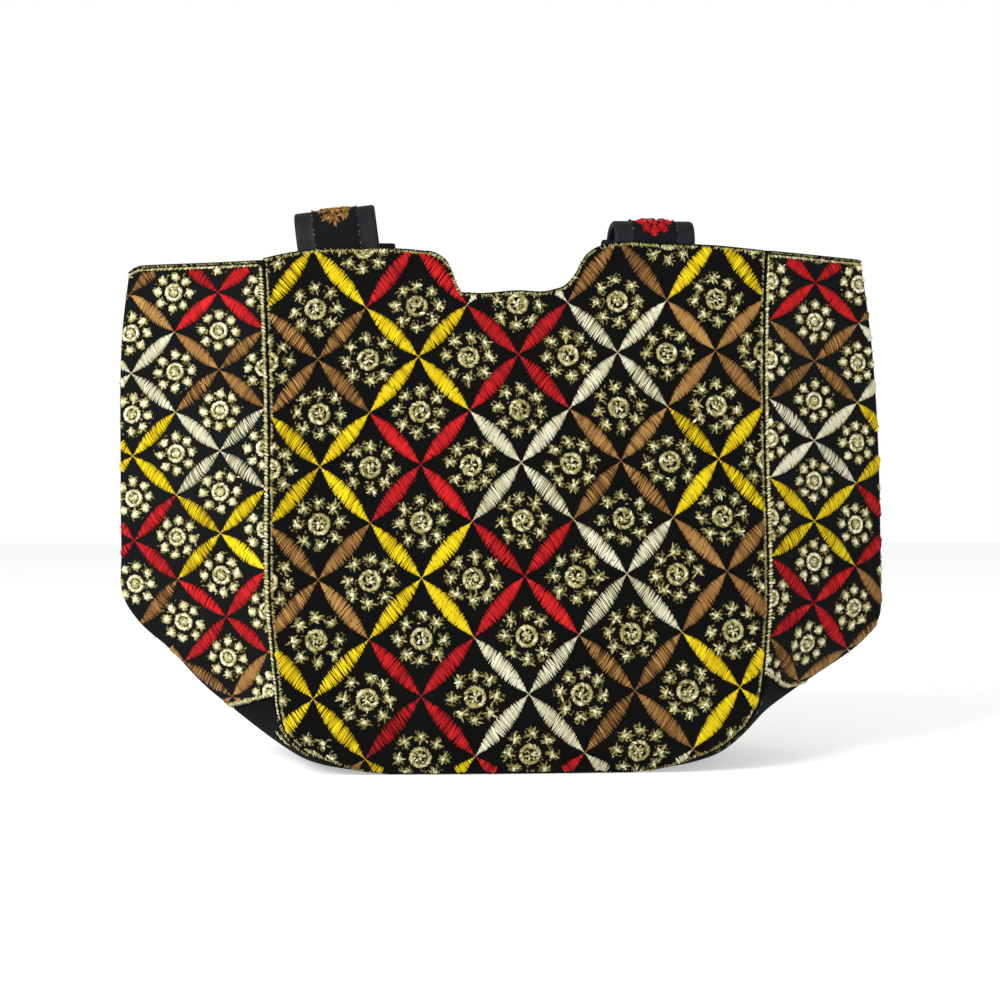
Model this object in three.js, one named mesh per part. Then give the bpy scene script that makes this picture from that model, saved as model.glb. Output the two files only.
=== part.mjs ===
import * as THREE from "three";

// Sizes in millimetres. X runs across the bag, the front faces -Y, Z is up from the floor.
const HEIGHT = 252.3; // floor to the top of the two lobes
const PANEL_HALF = 124.3; // half the panel's width at its top edge
const SCOOP_DEPTH = 22.6; // depth of the scoop between the lobes
const SWELL_HALF = 56; // half the bag's depth where it is deepest, just over the floor
const SPREAD_HALF = 191; // centre line to the outer fold of a side gusset
const RACK = 5; // how far the front panel sits to the right of the middle, the back one to the left
const RISE = 3.2; // how much the right end of the top edge stands above the level
const BULGE = 6; // how far a panel's middle stands out past its seams
const LIP_BULGE = 1.6; // the same at the top edge and at the foot
const CLOTH = 2.0; // wall of a panel or gusset with its needlework
const BASE_CLOTH = 2.4; // wall of the base panel
const GAP = 0.3; // room left between neighbouring pieces
const SEAM_LENGTH = 290; // one side seam from the base's corner to the top edge
const SHIFTED_BY = 45; // height by which the panels have taken their sideways shift
const FOLD_ROUND = 0.1; // rounding of a gusset's fold, as a share of its half width
const TROUGH_END = 0.25; // share of the side where the base's trough has turned into the fold
const MITRE_LONGEST = 1.6; // a mitred edge is at most this many wall thicknesses long

// Top edge of a panel: place across as a share of PANEL_HALF, then how far the edge lies under HEIGHT there, as a
// share of SCOOP_DEPTH.
const LIP = [
  [-1, 0.195],
  [-0.901, 0.084],
  [-0.796, 0.009],
  [-0.644, 0],
  [-0.483, 0.009],
  [-0.386, 0.058],
  [-0.316, 0.133],
  [-0.273, 0.341],
  [-0.227, 0.969],
  [-0.195, 1],
  [0, 0.965],
  [0.137, 0.96],
  [0.201, 0.805],
  [0.233, 0.58],
  [0.265, 0.248],
  [0.306, 0.053],
  [0.346, 0],
  [0.563, 0],
  [0.796, 0.004],
  [0.901, 0.062],
  [1, 0.124],
];
const BACK_SHIFT = 12; // the back panel's scoop lies this much further right on it, in line with the front one
const LEFT_SAG = 2.6; // drop of the left gusset's top edge towards its seams and at its fold
const SAG_NEAR_FOLD = 0.15; // share of the strip beside the fold that drops with it

const BAND = 40; // width of a handle
const BAND_THICK = 2.6;
const LEG_AT = 0.82; // where the handles are sewn, as a share across the panel
const WALL_ASLANT = 1.03; // a wall measured level is this much thicker than it is
const NEST = 5; // step from the back handle's middle to the front one's
const SEWN = 30; // length of each end sewn inside the mouth
const SEWN_STEPS = 4;
const LIP_CLEAR = 1; // room between the lip and the start of a bend
const BEHIND = 6; // how far below the lip a bend ends behind the bag
const LEAN_FULL = 6; // height over the lip by which a leaning bend has its whole lean
const TWIST_TOP = 240; // height where a hanging leg starts to turn its face sideways
const TWIST_END = 156; // and where it has turned a quarter
const TWIST_STEPS = 18;
const LOOP_STEPS = 18;
const FRONT_DROP = 56; // how far the front handle's loop hangs below the turned legs
const BACK_DROP = 44;
const FRONT_HANDLE = { sign: -1, nest: NEST, drop: FRONT_DROP, arcSteps: 14, arcPower: 0.75 };
const BACK_HANDLE = { sign: 1, nest: 0, drop: BACK_DROP, arcSteps: 8, arcPower: 1 };
// Each leg: which end of the bag, its centre as a share of PANEL_HALF, how high its bend stands over the lip as a
// share of BAND, and its sideways lean there.
const FRONT_LEGS = [
  { end: 1, at: 0.592, hump: 0.325, lean: 0 },
  { end: -1, at: -0.662, hump: 0.512, lean: 0.13 },
];
const BACK_LEGS = [
  { end: 1, at: 0.563, hump: 0.15, lean: 0 },
  { end: -1, at: -0.603, hump: 0.15, lean: 0 },
];

// Shares up the side, from the base's corner to the top edge: the seam's length so far, then the panel's half
// width, its depth from the middle and its height at the seam, then the fold's reach and its height, and last the
// fold's shift to the right.
const SIDE = [
  [0.0, 0.451, 0.857, 0.0, 0.293, 0.0, 0],
  [0.056, 0.579, 0.911, 0.01, 0.387, 0.0, 0],
  [0.109, 0.692, 0.964, 0.03, 0.482, 0.002, 0],
  [0.158, 0.796, 0.991, 0.054, 0.556, 0.016, 0.005],
  [0.199, 0.865, 1.0, 0.087, 0.633, 0.055, 0.004],
  [0.241, 0.907, 0.982, 0.131, 0.695, 0.095, -0.001],
  [0.276, 0.92, 0.957, 0.17, 0.77, 0.137, 0.005],
  [0.354, 0.94, 0.888, 0.258, 0.907, 0.222, 0.035],
  [0.406, 0.952, 0.839, 0.317, 0.967, 0.27, 0.024],
  [0.459, 0.957, 0.786, 0.377, 0.993, 0.325, 0.004],
  [0.53, 0.961, 0.711, 0.457, 0.995, 0.42, 0.001],
  [0.635, 0.964, 0.598, 0.575, 0.994, 0.575, -0.002],
  [0.897, 0.986, 0.348, 0.872, 0.976, 0.872, -0.013],
  [1, 1, 0.277, 0.989, 0.957, 0.977, -0.015],
];
const ROWS = 18;
const ROW_POWER = 1.363; // crowds the rows towards the base's corner
const TRIM_ROW = 7; // the gusset meets the base panel at this row
const SCOOP_ROW = 0.78; // share of the side above which the rows follow the scoop
const COLUMN_GAP = 2.5; // columns stand at least this far apart
const ACROSS = 8; // strips from the front seam to the back seam
const NUDGE = 1e-3; // share by which a surface is stepped to find its slope
const AT_SEAM = 0.9999; // share past which a point counts as on the seam
const HALVINGS = 40; // tries in looking up the share of the side for a height
const PAST_TOP = 1.05; // share of the side where that search ends

const smooth = (t) => {
  const c = Math.min(1, Math.max(0, t));
  return c * c * (3 - 2 * c);
};

// Smooth reading of one column of a table whose rows start with their place, running on straight past the last.
function read(table, column, q) {
  const last = table.length - 1;
  const at = (i) => table[i][0];
  const of = (i) => table[i][column];
  const slope = (i) => {
    const step = (k) => (of(k + 1) - of(k)) / (at(k + 1) - at(k));
    if (i === 0) return step(0);
    if (i === last) return step(last - 1);
    const before = at(i) - at(i - 1);
    const after = at(i + 1) - at(i);
    return (step(i - 1) * after + step(i) * before) / (before + after);
  };
  if (q >= at(last)) return of(last) + (q - at(last)) * slope(last);
  let i = 0;
  while (i < last - 1 && q > at(i + 1)) i += 1;
  const h = at(i + 1) - at(i);
  const t = (q - at(i)) / h;
  return (
    (2 * t ** 3 - 3 * t ** 2 + 1) * of(i) +
    (t ** 3 - 2 * t ** 2 + t) * h * slope(i) +
    (-2 * t ** 3 + 3 * t ** 2) * of(i + 1) +
    (t ** 3 - t ** 2) * h * slope(i + 1)
  );
}
const side = (column, q) => read(SIDE, column, q);
const halfWidth = (q) => PANEL_HALF * side(1, q);
const halfDepth = (q) => SWELL_HALF * side(2, q);
const seamHeight = (q) => HEIGHT * side(3, q);
const bulge = (q) => LIP_BULGE + (BULGE - LIP_BULGE) * Math.sin(Math.PI * Math.min(1, q)) ** 1.5;
const rack = (q) => RACK * smooth(seamHeight(q) / SHIFTED_BY);
const tilted = (x, y, z) => new THREE.Vector3(x, y, z * (1 + (RISE / HEIGHT) * (x / SPREAD_HALF)));

// Height of a panel's top edge at u across.
function lip(face, u) {
  const place = u - (face > 0 ? BACK_SHIFT / PANEL_HALF : 0);
  return HEIGHT - SCOOP_DEPTH * read(LIP, 1, Math.min(1, Math.max(-1, place)));
}

// A point on a panel's outer face: face -1 is the front, u runs -1 to 1 between the seams, q up the side.
function panel(face, u, q) {
  let up = Math.max(q, GAP / 2 / SEAM_LENGTH);
  if (q > SCOOP_ROW) {
    const foot = seamHeight(SCOOP_ROW);
    up = SCOOP_ROW + ((q - SCOOP_ROW) * (lip(face, u) - foot)) / (seamHeight(1) - foot);
  }
  const half = halfWidth(up);
  const inset = 1 - GAP / 2 / half;
  const y = face * (halfDepth(up) + bulge(up) * (1 - u * u));
  return tilted(-face * rack(up) + u * inset * half, y, seamHeight(up));
}

// A point on the strip that joins the panels: end -1 left, 1 right, w from the front seam to the back seam.
function gusset(end, share, w) {
  const slack = Math.max(smooth(Math.abs(w)), 1 - smooth(Math.abs(w) / SAG_NEAR_FOLD));
  const sag = end < 0 ? LEFT_SAG * slack * smooth((share - SCOOP_ROW) / (1 - SCOOP_ROW)) : 0;
  const q = share - sag / SEAM_LENGTH;
  const front = new THREE.Vector3(rack(q) + end * halfWidth(q), -halfDepth(q), seamHeight(q));
  const back = new THREE.Vector3(-rack(q) + end * halfWidth(q), halfDepth(q), seamHeight(q));
  const fold = new THREE.Vector3(SPREAD_HALF * (end * side(4, q) + side(6, q)), 0, HEIGHT * side(5, q));
  const inner = w * (1 - GAP / 2 / fold.distanceTo(front));
  const far = Math.hypot(1, FOLD_ROUND);
  const folded = (far - Math.hypot(inner, FOLD_ROUND)) / (far - FOLD_ROUND);
  const trough = 1 - inner ** 4;
  const full = smooth(q / TROUGH_END);
  const hump = full * folded + (1 - full) * trough;
  const chord = front.clone().lerp(back, (inner + 1) / 2);
  const middle = front.clone().add(back).multiplyScalar(0.5);
  const p = chord.add(fold.sub(middle).multiplyScalar(hump));
  return tilted(p.x, p.y, p.z);
}

// A point on the flat of the base, below the panels' straight feet.
function floor(u, w) {
  const x = u * halfWidth(0);
  return tilted(x, w * (halfDepth(0) - GAP / 2), 0);
}

// Unit normals of the two surfaces, pointing outward, from small steps along them.
const panelNormal = (face, u, share) => {
  const q = Math.max(share, 2 * NUDGE);
  const du = panel(face, u + NUDGE, q).sub(panel(face, u - NUDGE, q));
  const dq = panel(face, u, q + NUDGE).sub(panel(face, u, q - NUDGE));
  const n = du.cross(dq).normalize();
  return n.y * face < 0 ? n.negate() : n;
};
const gussetNormal = (end, q, w) => {
  const lowQ = Math.max(q - NUDGE, 0);
  const lowW = Math.max(w - NUDGE, -1);
  const highW = Math.min(w + NUDGE, 1);
  const dq = gusset(end, q + NUDGE, w).sub(gusset(end, lowQ, w));
  const dw = gusset(end, q, highW).sub(gusset(end, q, lowW));
  const n = dq.cross(dw).normalize();
  const outward = new THREE.Vector3(end, w / 2, q < TROUGH_END ? -2 : 0);
  return n.dot(outward) < 0 ? n.negate() : n;
};

// The direction in which a seam's edge is cut, halfway between its two faces, long enough to keep the wall.
function mitre(one, other) {
  const n = one.clone().add(other).normalize();
  return n.multiplyScalar(1 / Math.max(1 / MITRE_LONGEST, n.dot(one)));
}
const sideMitre = (face, end, q) => mitre(panelNormal(face, end, q), gussetNormal(end, q, face));
const footMitre = (face, u) => mitre(panelNormal(face, u, 0), new THREE.Vector3(0, 0, -1));

// A closed wall from a grid of outer points and the inward steps that go with them.
function wall(points, steps) {
  const columns = points.length;
  const rows = points[0].length;
  const vertices = [];
  for (const offset of [0, 1]) {
    for (let i = 0; i < columns; i += 1) {
      for (let j = 0; j < rows; j += 1) {
        const p = points[i][j].clone().addScaledVector(steps[i][j], -offset);
        vertices.push(p.x, p.y, p.z);
      }
    }
  }
  const id = (layer, i, j) => layer * columns * rows + i * rows + j;
  const faces = [];
  const quad = (a, b, c, d) => faces.push(a, b, c, a, c, d);
  for (let i = 0; i < columns - 1; i += 1) {
    for (let j = 0; j < rows - 1; j += 1) {
      quad(id(0, i, j), id(0, i + 1, j), id(0, i + 1, j + 1), id(0, i, j + 1));
      quad(id(1, i, j), id(1, i, j + 1), id(1, i + 1, j + 1), id(1, i + 1, j));
    }
  }
  for (let i = 0; i < columns - 1; i += 1) {
    quad(id(0, i + 1, 0), id(0, i, 0), id(1, i, 0), id(1, i + 1, 0));
    quad(id(0, i, rows - 1), id(0, i + 1, rows - 1), id(1, i + 1, rows - 1), id(1, i, rows - 1));
  }
  for (let j = 0; j < rows - 1; j += 1) {
    quad(id(0, 0, j), id(0, 0, j + 1), id(1, 0, j + 1), id(1, 0, j));
    quad(id(0, columns - 1, j), id(1, columns - 1, j), id(1, columns - 1, j + 1), id(0, columns - 1, j + 1));
  }
  return outward(vertices, faces);
}

// Turns the faces round when the signed volume is negative.
function outward(vertices, faces) {
  const at = (k) => new THREE.Vector3().fromArray(vertices, 3 * k);
  let volume = 0;
  for (let f = 0; f < faces.length; f += 3) {
    volume += at(faces[f]).dot(at(faces[f + 1]).cross(at(faces[f + 2])));
  }
  if (volume < 0) {
    for (let f = 0; f < faces.length; f += 3) [faces[f], faces[f + 1]] = [faces[f + 1], faces[f]];
  }
  const geometry = new THREE.BufferGeometry();
  geometry.setAttribute("position", new THREE.Float32BufferAttribute(vertices, 3));
  geometry.setIndex(faces);
  geometry.computeVertexNormals();
  return geometry;
}

// Columns across both panels and the base, at the rows of LIP as they lie on either panel, none too close.
function columns() {
  const places = LIP.flatMap(([u]) => [u, u + BACK_SHIFT / PANEL_HALF]).sort((a, b) => a - b);
  const clear = COLUMN_GAP / PANEL_HALF;
  const kept = [-1];
  for (const u of places) {
    if (u - kept[kept.length - 1] > clear && 1 - u > clear) kept.push(u);
  }
  return [...kept, 1];
}
const US = columns();
const QS = Array.from({ length: ROWS + 1 }, (_, j) => (j / ROWS) ** ROW_POWER);
const WS = Array.from({ length: ACROSS + 1 }, (_, i) => (2 * i) / ACROSS - 1);

function panelWall(face) {
  const points = US.map((u) => QS.map((q) => panel(face, u, q)));
  const steps = US.map((u) =>
    QS.map((q) => {
      if (Math.abs(u) > AT_SEAM) return sideMitre(face, Math.sign(u), q).multiplyScalar(CLOTH);
      if (q === 0) return footMitre(face, u).multiplyScalar(CLOTH);
      return panelNormal(face, u, q).multiplyScalar(CLOTH);
    }),
  );
  return wall(points, steps);
}

// The inward step of the joining strip, cut on the mitre at its two seams.
function stripStep(end, q, w, thick) {
  if (Math.abs(w) > AT_SEAM) return sideMitre(Math.sign(w), end, q).multiplyScalar(thick);
  return gussetNormal(end, q, w).multiplyScalar(thick);
}

function gussetWall(end) {
  const qs = QS.slice(TRIM_ROW).map((q, k) => (k === 0 ? q + GAP / 2 / SEAM_LENGTH : q));
  const points = qs.map((q) => WS.map((w) => gusset(end, q, w)));
  const steps = qs.map((q) => WS.map((w) => stripStep(end, q, w, CLOTH)));
  return wall(points, steps);
}

function baseWall() {
  const qs = QS.slice(0, TRIM_ROW + 1).map((q, k) => (k === TRIM_ROW ? q - GAP / 2 / SEAM_LENGTH : q));
  const points = [];
  const steps = [];
  const down = new THREE.Vector3(0, 0, -1);
  for (const q of qs.slice().reverse()) {
    points.push(WS.map((w) => gusset(-1, q, w)));
    steps.push(WS.map((w) => stripStep(-1, q, w, BASE_CLOTH)));
  }
  for (const u of US.slice(1, -1)) {
    points.push(WS.map((w) => floor(u, w)));
    steps.push(
      WS.map((w) => {
        const n = Math.abs(w) > AT_SEAM ? footMitre(Math.sign(w), u) : down.clone();
        return n.multiplyScalar(BASE_CLOTH);
      }),
    );
  }
  for (const q of qs) {
    points.push(WS.map((w) => gusset(1, q, w)));
    steps.push(WS.map((w) => stripStep(1, q, w, BASE_CLOTH)));
  }
  return wall(points, steps);
}

// Distance from the middle to a panel's outer face at height z and share u across.
function faceDepth(u, z) {
  let low = 0;
  let high = PAST_TOP;
  for (let k = 0; k < HALVINGS; k += 1) {
    const middle = (low + high) / 2;
    if (seamHeight(middle) < z) low = middle;
    else high = middle;
  }
  return halfDepth(low) + bulge(low) * (1 - u * u);
}
const insideDepth = (z) => faceDepth(LEG_AT, z) - CLOTH * WALL_ASLANT - GAP - BAND_THICK / 2;
const outsideDepth = (z) => faceDepth(0, z) + 2 * GAP + BAND_THICK / 2;

// A band's middle line and the direction across it, with the frame that follows from them.
function framed(list) {
  const last = list.length - 1;
  return list.map(({ middle, along }, k) => {
    const before = list[Math.max(0, k - 1)].middle;
    const after = list[Math.min(last, k + 1)].middle;
    const tangent = after.clone().sub(before).normalize();
    const across = along.clone().addScaledVector(tangent, -along.dot(tangent)).normalize();
    return { middle, across, normal: tangent.clone().cross(across).normalize() };
  });
}

// The hanging part of one leg, which turns a quarter as it comes down behind the bag, its outer face ending
// outward. The front handle's lies one step outside the back one's.
function hanging({ at, end }, nest) {
  const x = at * PANEL_HALF;
  const list = [];
  for (let k = 0; k <= TWIST_STEPS; k += 1) {
    const z = TWIST_TOP + ((TWIST_END - TWIST_TOP) * k) / TWIST_STEPS;
    const turn = (Math.PI / 2) * smooth(k / TWIST_STEPS);
    const y = outsideDepth(z) + (BAND / 2) * Math.sin(turn);
    const along = new THREE.Vector3(end * Math.cos(turn), -Math.sin(turn), 0);
    list.push({ middle: tilted(x, y, z), along });
  }
  return framed(list).map(({ middle, across, normal }) => ({
    middle: middle.clone().addScaledVector(normal, -end * nest),
    along: across,
  }));
}

// The upper part of one leg, from its sewn end up over the lip.
function bent({ at, end, hump, lean }, { sign, nest, arcSteps, arcPower }) {
  const x = at * PANEL_HALF;
  const list = [];
  const add = (y, z) => {
    const over = Math.max(0, z - HEIGHT);
    const share = smooth(over / LEAN_FULL);
    const along = new THREE.Vector3(end, 0, -end * sign * lean * share);
    list.push({ middle: tilted(x - lean * over, y, z), along });
  };
  for (let k = 0; k < SEWN_STEPS; k += 1) {
    const z = HEIGHT - SEWN + (k * (SEWN - 1)) / SEWN_STEPS;
    add(sign * insideDepth(z), z);
  }
  const inner = sign * insideDepth(HEIGHT);
  const outer = outsideDepth(HEIGHT) + nest;
  const middle = (inner + outer) / 2;
  const reach = (outer - inner) / 2;
  for (let k = 0; k <= arcSteps; k += 1) {
    const angle = Math.PI * (1 - k / arcSteps);
    const y = middle + reach * Math.sign(Math.cos(angle)) * Math.abs(Math.cos(angle)) ** arcPower;
    add(y, HEIGHT + LIP_CLEAR + hump * BAND * Math.sin(angle) ** arcPower);
  }
  add(outsideDepth(HEIGHT - BEHIND) + nest, HEIGHT - BEHIND);
  return list;
}

function handle(kind, legs) {
  const [right, left] = legs.map((leg) => [...bent(leg, kind), ...hanging(leg, kind.nest)]);
  const centre = (PANEL_HALF * (legs[0].at + legs[1].at)) / 2;
  const reach = (PANEL_HALF * (legs[0].at - legs[1].at)) / 2 + kind.nest;
  const loop = [];
  for (let k = 1; k < LOOP_STEPS; k += 1) {
    const angle = (Math.PI * k) / LOOP_STEPS;
    const z = TWIST_END - kind.drop * Math.sin(angle);
    const middle = tilted(centre + reach * Math.cos(angle), outsideDepth(z) + BAND / 2, z);
    loop.push({ middle, along: new THREE.Vector3(0, -1, 0) });
  }
  return band(framed([...right, ...loop, ...left.reverse()]));
}

// A flat band swept through its stations, square at both ends.
function band(stations) {
  const vertices = [];
  const outline = [[-1, -1], [0, -1], [1, -1], [1, 1], [0, 1], [-1, 1]];
  const count = outline.length;
  for (const { middle, across, normal } of stations) {
    for (const [a, b] of outline) {
      const p = middle.clone();
      p.addScaledVector(across, (a * BAND) / 2).addScaledVector(normal, (b * BAND_THICK) / 2);
      vertices.push(p.x, p.y, p.z);
    }
  }
  const faces = [];
  const last = stations.length - 1;
  for (let k = 0; k < last; k += 1) {
    for (let c = 0; c < count; c += 1) {
      const d = (c + 1) % count;
      const [p, q] = [count * k + c, count * k + d];
      faces.push(p, q, q + count, p, q + count, p + count);
    }
  }
  const e = count * last;
  for (let c = 1; c < count - 1; c += 1) {
    faces.push(0, c + 1, c);
    faces.push(e, e + c, e + c + 1);
  }
  return outward(vertices, faces);
}

const cloth = new THREE.MeshStandardMaterial({ color: 0x17191d, roughness: 0.92, metalness: 0 });
const plain = new THREE.MeshStandardMaterial({ color: 0x121316, roughness: 0.95, metalness: 0 });
const strap = new THREE.MeshStandardMaterial({ color: 0x1c1f24, roughness: 0.8, metalness: 0 });

const bag = new THREE.Group();
function add(name, geometry, material) {
  const mesh = new THREE.Mesh(geometry, material);
  mesh.name = name;
  bag.add(mesh);
}
add("front_panel", panelWall(-1), cloth);
add("back_panel", panelWall(1), cloth);
add("side_gusset_left", gussetWall(-1), cloth);
add("side_gusset_right", gussetWall(1), cloth);
add("base_panel", baseWall(), plain);
add("handle_front", handle(FRONT_HANDLE, FRONT_LEGS), strap);
add("handle_back", handle(BACK_HANDLE, BACK_LEGS), strap);

export default bag;
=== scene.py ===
import math

import bpy
import numpy as np
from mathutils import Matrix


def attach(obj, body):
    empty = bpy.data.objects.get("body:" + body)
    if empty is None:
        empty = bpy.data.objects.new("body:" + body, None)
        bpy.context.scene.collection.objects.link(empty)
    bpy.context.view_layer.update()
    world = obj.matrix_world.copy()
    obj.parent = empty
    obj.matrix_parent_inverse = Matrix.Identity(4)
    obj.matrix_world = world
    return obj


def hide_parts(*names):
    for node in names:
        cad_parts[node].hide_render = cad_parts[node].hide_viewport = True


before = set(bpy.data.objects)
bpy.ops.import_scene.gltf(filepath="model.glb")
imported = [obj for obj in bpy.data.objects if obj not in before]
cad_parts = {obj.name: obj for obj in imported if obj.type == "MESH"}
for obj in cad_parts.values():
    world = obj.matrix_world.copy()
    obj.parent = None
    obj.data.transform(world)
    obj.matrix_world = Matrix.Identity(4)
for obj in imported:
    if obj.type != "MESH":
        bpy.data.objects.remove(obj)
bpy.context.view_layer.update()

# Camera, floor and light
# The bag stands on a white studio floor that runs back out of sight, under two large soft lamps. The camera
# is level with the middle of the bag and a little to its left, and one millimetre at the bag is two pixels.
MM = 0.001
CAMERA_AWAY = 0.8
CAMERA_AZIMUTH = math.radians(-3.0)
CAMERA_HEIGHT = 0.1286
CAMERA_AIM = -0.0026
VIEW_WIDTH = 0.5
SKY_LIGHT = 0.52
FLOOR_GLOW = 0.45


def make_camera():
    """A level camera whose picture is VIEW_WIDTH wide at CAMERA_AWAY."""
    data = bpy.data.cameras.new("Camera")
    data.sensor_width = 36.0
    data.lens = 36.0 * CAMERA_AWAY / VIEW_WIDTH
    camera = bpy.data.objects.new("Camera", data)
    camera.location = (
        CAMERA_AIM + CAMERA_AWAY * math.sin(CAMERA_AZIMUTH),
        -CAMERA_AWAY * math.cos(CAMERA_AZIMUTH),
        CAMERA_HEIGHT,
    )
    camera.rotation_euler = (math.pi / 2, 0.0, CAMERA_AZIMUTH)
    bpy.context.scene.collection.objects.link(camera)
    bpy.context.scene.camera = camera


def make_lamp(name, place, aim, size, watts, colour):
    """A square area lamp at place that shines at aim."""
    data = bpy.data.lights.new(name, "AREA")
    data.size = size
    data.energy = watts
    data.color = colour
    lamp = bpy.data.objects.new(name, data)
    lamp.location = place
    lean = [a - b for a, b in zip(aim, place)]
    flat = math.hypot(lean[0], lean[1])
    lamp.rotation_euler = (math.atan2(flat, -lean[2]), 0.0, math.atan2(-lean[0], lean[1]))
    bpy.context.scene.collection.objects.link(lamp)


class Socket:
    """A value in a node tree. Operators on it add Math nodes, and node() adds any other node."""

    def __init__(self, tree, link=None):
        self.tree = tree
        self.link = link

    def node(self, kind, settings, inputs, output=0):
        """Adds a node: its settings first, a ramp's stops among them, then its inputs, by number or by
        name. It gives the named output."""
        made = self.tree.nodes.new(kind)
        for key, value in settings.items():
            if key == "stops":
                for place, _ in value[1:-1]:
                    made.color_ramp.elements.new(place)
                for stop, (place, tone) in zip(made.color_ramp.elements, value):
                    stop.position = place
                    stop.color = tone
            else:
                setattr(made, key, value)
        pairs = inputs.items() if isinstance(inputs, dict) else enumerate(inputs)
        for key, value in pairs:
            if isinstance(value, Socket):
                self.tree.links.new(value.link, made.inputs[key])
            else:
                made.inputs[key].default_value = value
        return Socket(self.tree, made.outputs[output])

    def math(self, operation, *others):
        return self.node("ShaderNodeMath", {"operation": operation}, [self, *others])

    def __add__(self, other):
        return self.math("ADD", other)

    def __sub__(self, other):
        return self.math("SUBTRACT", other)

    def __mul__(self, other):
        return self.math("MULTIPLY", other)

    def __rsub__(self, other):
        return self.node("ShaderNodeMath", {"operation": "SUBTRACT"}, [other, self])

    __radd__ = __add__
    __rmul__ = __mul__


def new_material(name):
    """A material with a bare Principled shader: a start for its nodes, and that shader's node."""
    material = bpy.data.materials.new(name)
    material.use_nodes = True
    tree = material.node_tree
    shader = next(n for n in tree.nodes if n.type == "BSDF_PRINCIPLED")
    return material, Socket(tree), shader


def feed(shader, values):
    """Sets or links the named inputs of a shader."""
    for key, value in values.items():
        if isinstance(value, Socket):
            value.tree.links.new(value.link, shader.inputs[key])
        else:
            shader.inputs[key].default_value = value


def add_piece(name, points, faces, material, smooth=True, maps=None, marks=None):
    """A mesh object at the origin, from points in millimetres. maps are UV maps and marks are numbers, both
    given for each point."""
    mesh = bpy.data.meshes.new(name)
    faces = np.asarray(faces, dtype=np.int32)
    sides = faces.shape[1]
    mesh.vertices.add(len(points))
    mesh.vertices.foreach_set("co", (np.asarray(points, dtype=np.float32) * MM).ravel())
    mesh.loops.add(faces.size)
    mesh.loops.foreach_set("vertex_index", faces.ravel())
    mesh.polygons.add(len(faces))
    mesh.polygons.foreach_set("loop_start", np.arange(0, faces.size, sides, dtype=np.int32))
    mesh.update(calc_edges=True)
    mesh.validate()
    for key, values in (maps or {}).items():
        layer = mesh.uv_layers.new(name=key)
        layer.data.foreach_set("uv", np.asarray(values, dtype=np.float32)[faces.ravel()].ravel())
    for key, values in (marks or {}).items():
        attribute = mesh.attributes.new(key, "FLOAT", "POINT")
        attribute.data.foreach_set("value", np.asarray(values, dtype=np.float32))
    mesh.shade_smooth() if smooth else mesh.shade_flat()
    mesh.materials.append(material)
    piece = bpy.data.objects.new(name, mesh)
    bpy.context.scene.collection.objects.link(piece)
    return piece


def make_floor():
    """A wide white floor with a faint light of its own, which takes it to plain white away from the bag's
    shadow."""
    material, _, shader = new_material("studio_white")
    feed(shader, {"Base Color": (0.92, 0.92, 0.92, 1.0), "Roughness": 0.9, "Specular IOR Level": 0.1})
    feed(shader, {"Emission Color": (1.0, 1.0, 1.0, 1.0), "Emission Strength": FLOOR_GLOW})
    reach = 4000.0
    corners = [(-reach, -reach, 0), (reach, -reach, 0), (reach, reach, 0), (-reach, reach, 0)]
    floor = add_piece("studio_floor", corners, [[0, 1, 2, 3]], material, smooth=False)


def make_world():
    """Soft even light from all round, behind which the camera sees plain white."""
    world = bpy.data.worlds.new("studio")
    bpy.context.scene.world = world
    world.use_nodes = True
    tree = world.node_tree
    seen = Socket(tree).node("ShaderNodeLightPath", {}, {}, "Is Camera Ray")
    background = next(n for n in tree.nodes if n.type == "BACKGROUND")
    background.inputs["Color"].default_value = (1.0, 1.0, 1.0, 1.0)
    tree.links.new((SKY_LIGHT + seen * (1.0 - SKY_LIGHT)).link, background.inputs["Strength"])


make_camera()
make_floor()
make_world()
make_lamp("key_lamp", (-0.95, -1.0, 0.9), (0, 0, 0.13), 0.7, 24.0, (1.0, 1.0, 1.0))
make_lamp("fill_lamp", (0.95, -0.8, 0.5), (0, 0, 0.13), 0.8, 2.5, (1.0, 0.97, 0.92))
bpy.context.scene.view_settings.view_transform = "Standard"
bpy.context.scene.view_settings.look = "None"

# Front panel and its twin at the back: black cloth
# Two lobed cloth walls, turned over at the top edge and sewn to the side strips in a narrow furrow. The
# cloth is matte black, close woven, and stands in soft shallow waves between its seams.
HEIGHT = 252.3
PANEL_HALF = 124.3
SCOOP_DEPTH = 22.6
SWELL_HALF = 56.0
SPREAD_HALF = 191.0
RACK = 5.0
RISE = 3.2
BULGE = 6.0
LIP_BULGE = 1.6
CLOTH = 1.4
NEEDLEWORK = 0.7
SCOOP_ROW = 0.78
SEAM_LENGTH = 290.0
LEFT_SAG = 2.6
SAG_NEAR_FOLD = 0.15

# Top edge of a panel: place across as a share of PANEL_HALF, then how far the edge lies under HEIGHT there,
# as a share of SCOOP_DEPTH.
LIP = np.array(
    [
        [-1, 0.195],
        [-0.901, 0.084],
        [-0.796, 0.009],
        [-0.644, 0],
        [-0.483, 0.009],
        [-0.386, 0.058],
        [-0.316, 0.133],
        [-0.273, 0.341],
        [-0.227, 0.969],
        [-0.195, 1],
        [0, 0.965],
        [0.137, 0.96],
        [0.201, 0.805],
        [0.233, 0.58],
        [0.265, 0.248],
        [0.306, 0.053],
        [0.346, -0.03],
        [0.42, -0.09],
        [0.563, -0.05],
        [0.796, 0.004],
        [0.901, 0.062],
        [1, 0.124],
    ]
)
BACK_SHIFT = 12.0

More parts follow.
